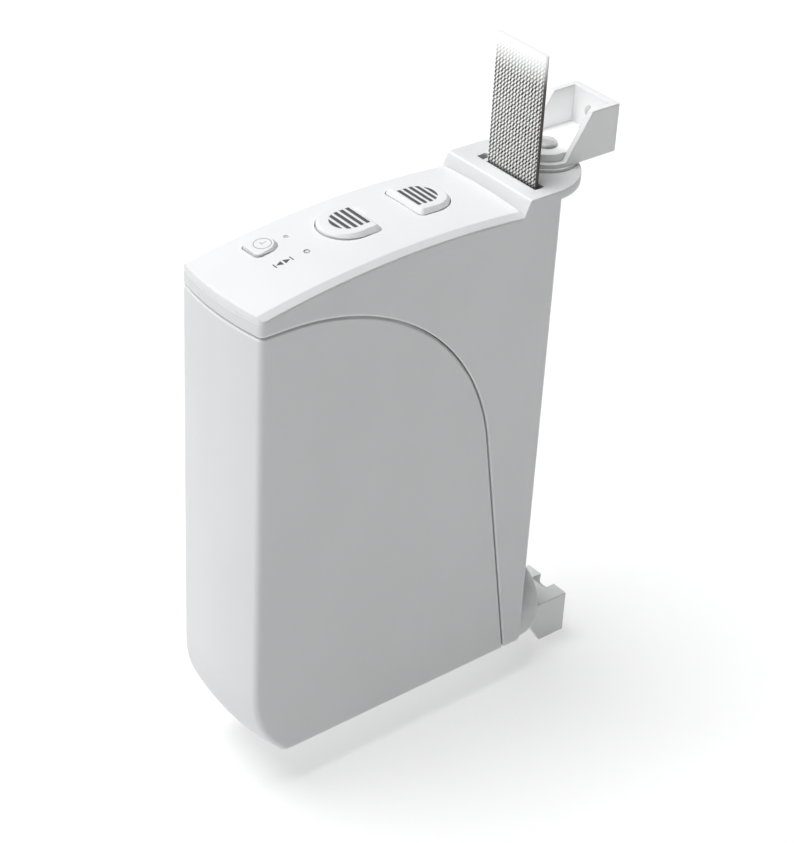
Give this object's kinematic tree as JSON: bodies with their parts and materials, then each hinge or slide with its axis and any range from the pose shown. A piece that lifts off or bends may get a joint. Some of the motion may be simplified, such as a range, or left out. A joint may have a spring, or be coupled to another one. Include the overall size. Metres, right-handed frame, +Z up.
{
  "type": "electric roller shutter belt winder",
  "caption": "Slim white wall-mounted electric belt winder: curved housing with crowned button panel, U-shaped cover, belt slot and hinged wall brackets, with drum and gear train inside.",
  "frame": {"origin": "axis of the lower bracket's screw hole, at the wall plane", "axes": "+X to the right along the wall as one faces it, +Y into the wall, +Z up; the winder stands out from the wall towards -Y"},
  "size_m": [0.04, 0.1444, 0.2337],
  "materials": {
    "shell": "white, fine satin",
    "panel": "white, satin",
    "buttons": "white, satin",
    "set_pin": "pale grey, satin",
    "brackets": "white, satin",
    "washer": "pale grey, satin",
    "steel_pin": "turned steel",
    "screw": "zinc plated",
    "belt": "woven strap, grey and white",
    "chassis": "glass filled, dark grey",
    "gear": "natural acetal",
    "drum": "black",
    "brass": "machined",
    "bush": "sintered bronze",
    "motor": "drawn steel can",
    "gearbox": "die cast",
    "board": "green solder mask",
    "component": "black",
    "power": "black, potted",
    "terminal": "pale grey",
    "lens": "clear acrylic",
    "lamp": "clear red",
    "grommet": "soft, black"
  },
  "bodies": {
    "wall_side": {"wall_bracket_top": "brackets", "wall_bracket_bottom": "brackets", "swivel_pin_top": "steel_pin", "swivel_pin_bottom": "steel_pin", "swivel_washer_top": "washer", "swivel_washer_bottom": "washer", "pin_retainer": "steel_pin"},
    "cover": {"front_cover": "shell"},
    "drum": {"drum_gear": "gear", "drum_hub": "drum", "drum_flange": "drum", "drum_bushes": "bush", "drum_screws": "screw", "belt_winding": "belt"},
    "idler": {"idler_gear": "gear"},
    "drive": {"drive_pinion": "brass"},
    "roller": {"guide_roller": "gear"},
    "up_key": {"up_button": "buttons", "up_plunger": "component"},
    "down_key": {"down_button": "buttons", "down_plunger": "component"},
    "clock_key": {"clock_button": "buttons", "clock_plunger": "component"},
    "set_key": {"set_button": "set_pin", "set_plunger": "component"},
    "housing": {"main_housing": "shell", "control_panel": "panel", "tact_switches": "component", "control_board": "board", "board_components": "component", "board_screws": "screw", "light_guide": "lens", "status_lamp": "lamp", "chassis_frame": "chassis", "chassis_screws": "screw", "power_module": "power", "drive_motor": "motor", "motor_clamp": "steel_pin", "gearbox": "gearbox", "gearbox_screws": "screw", "idler_pin": "steel_pin", "drum_axle": "steel_pin", "axle_clip": "steel_pin", "belt_strap": "belt", "roller_pin": "steel_pin", "terminal_block": "terminal", "terminal_screws": "screw", "cable_grommet": "grommet"}
  },
  "joints": [
    {"name": "swivel", "type": "hinge", "parent": "wall_side", "child": "housing", "pos_m": [0, -0.0205, 0.09], "axis": [0, 0, 1], "range_deg": [-90, 90]},
    {"name": "cover_slide", "type": "slide", "parent": "housing", "child": "cover", "axis": [0, -1, 0], "range_m": [0, 0.12]},
    {"name": "drum_spin", "type": "hinge", "parent": "housing", "child": "drum", "pos_m": [0, -0.0892, 0.0611], "axis": [1, 0, 0], "continuous": true},
    {"name": "idler_spin", "type": "hinge", "parent": "housing", "child": "idler", "pos_m": [0, -0.08168, 0.11457], "axis": [1, 0, 0], "continuous": true},
    {"name": "drive_spin", "type": "hinge", "parent": "housing", "child": "drive", "pos_m": [0, -0.0723, 0.13223], "axis": [1, 0, 0], "continuous": true},
    {"name": "roller_spin", "type": "hinge", "parent": "housing", "child": "roller", "pos_m": [0, -0.0442, 0.1661], "axis": [1, 0, 0], "continuous": true},
    {"name": "up_press", "type": "slide", "parent": "housing", "child": "up_key", "axis": [0, 0, -1], "range_m": [0, 0.0009], "stiffness_N_per_m": 800, "springref_m": -0.0008},
    {"name": "down_press", "type": "slide", "parent": "housing", "child": "down_key", "axis": [0, 0, -1], "range_m": [0, 0.0009], "stiffness_N_per_m": 800, "springref_m": -0.0008},
    {"name": "clock_press", "type": "slide", "parent": "housing", "child": "clock_key", "axis": [0, 0, -1], "range_m": [0, 0.0006], "stiffness_N_per_m": 800, "springref_m": -0.0008},
    {"name": "set_press", "type": "slide", "parent": "housing", "child": "set_key", "axis": [0, 0, -1], "range_m": [0, 0.0006], "stiffness_N_per_m": 800, "springref_m": -0.0008}
  ],
  "couplings": [
    {"joint": "idler_spin", "follows": "drum_spin", "ratio": -6.7143},
    {"joint": "drive_spin", "follows": "drum_spin", "ratio": 17.265},
    {"joint": "roller_spin", "follows": "drum_spin", "ratio": 5.0641}
  ]
}
